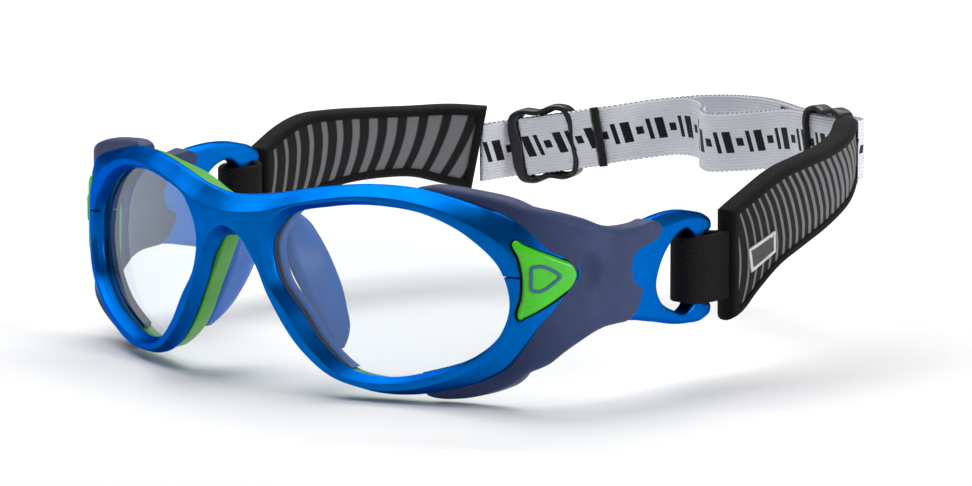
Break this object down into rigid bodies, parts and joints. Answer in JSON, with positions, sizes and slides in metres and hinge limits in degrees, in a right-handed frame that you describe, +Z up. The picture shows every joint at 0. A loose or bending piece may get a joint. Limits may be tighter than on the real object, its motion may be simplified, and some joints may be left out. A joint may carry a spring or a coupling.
{
  "type": "sports protective goggles",
  "caption": "Wraparound sports protective goggles: rigid two-lens front, rubber-covered temples with strap loops, padded side wings and an adjustable elastic head strap.",
  "frame": {"origin": "the nose seat: on the symmetry plane between the nose pads, level with the lens centres", "axes": "+Z up, +Y back towards the wearer and the strap, +X to the wearer's left"},
  "size_m": [0.1386, 0.1564, 0.0461],
  "materials": {
    "frame_blue": "satin metallic blue nylon, moulded",
    "grip_navy": "matt navy thermoplastic rubber overmould",
    "liner_green": "satin green moulding",
    "cap_green": "gloss green moulding",
    "nose_silicone": "satin blue silicone",
    "gasket_black": "matt soft gasket",
    "lens_clear": "clear polycarbonate, hard coated",
    "insert_brass": "turned, knurled",
    "screw_steel": "satin, cross recess",
    "webbing_black": "plain-weave narrow webbing",
    "patch_black": "woven patch with a pale stitched edge",
    "pad_foam": "soft open-cell foam in a cloth skin",
    "pad_stripes": "charcoal cloth with fine curved grey stripes",
    "binding_black": "folded ribbed tape",
    "elastic_white": "ribbed woven elastic",
    "hem_black": "folded and stitched hem",
    "stitch_black": "dense box stitching",
    "slider_black": "moulded acetal"
  },
  "bodies": {
    "front": {"front_frame": "frame_blue", "nose_pads": "nose_silicone", "lens_left": "lens_clear", "lens_right": "lens_clear", "rear_liner_left": "liner_green", "rear_liner_right": "liner_green", "rim_gasket_left": "gasket_black", "rim_gasket_right": "gasket_black", "lock_cap_left": "cap_green", "lock_cap_right": "cap_green", "temple_arm_left": "frame_blue", "temple_arm_right": "frame_blue", "temple_cover_left": "grip_navy", "temple_cover_right": "grip_navy", "threaded_insert_left": "insert_brass", "threaded_insert_right": "insert_brass"},
    "strap_set": {"webbing_loop_left": "webbing_black", "webbing_loop_right": "webbing_black", "pad_patch_left": "patch_black", "pad_patch_right": "patch_black", "pad_core_left": "pad_foam", "pad_core_right": "pad_foam", "pad_face_left": "pad_stripes", "pad_face_right": "pad_stripes", "pad_lining_left": "pad_stripes", "pad_lining_right": "pad_stripes", "pad_binding_left": "binding_black", "pad_binding_right": "binding_black", "strap_inner_ply": "elastic_white", "strap_outer_ply": "elastic_white", "stitch_block": "stitch_black"},
    "slider_left": {"slider_left": "slider_black"},
    "slider_right": {"slider_right": "slider_black", "strap_tail": "elastic_white", "tail_hem": "hem_black"},
    "temple_screw_left": {"temple_screw_left": "screw_steel"},
    "temple_screw_right": {"temple_screw_right": "screw_steel"}
  },
  "joints": [
    {"name": "strap_tilt", "type": "hinge", "parent": "front", "child": "strap_set", "pos_m": [0, 0.0618, 0.0011], "axis": [1, 0, 0], "range_deg": [-5, 5]},
    {"name": "slider_left_slide", "type": "slide", "parent": "strap_set", "child": "slider_left", "axis": [-0.9503, 0.3088, -0.04], "range_m": [0, 0.008]},
    {"name": "slider_right_slide", "type": "slide", "parent": "strap_set", "child": "slider_right", "axis": [0.9343, 0.3036, 0.1867], "range_m": [0, 0.008]},
    {"name": "temple_screw_left_turn", "type": "hinge", "parent": "front", "child": "temple_screw_left", "pos_m": [0.0675, 0.03, 0.0028], "axis": [-1, 0, 0], "continuous": true},
    {"name": "temple_screw_right_turn", "type": "hinge", "parent": "front", "child": "temple_screw_right", "pos_m": [-0.0675, 0.03, 0.0028], "axis": [1, 0, 0], "continuous": true}
  ]
}
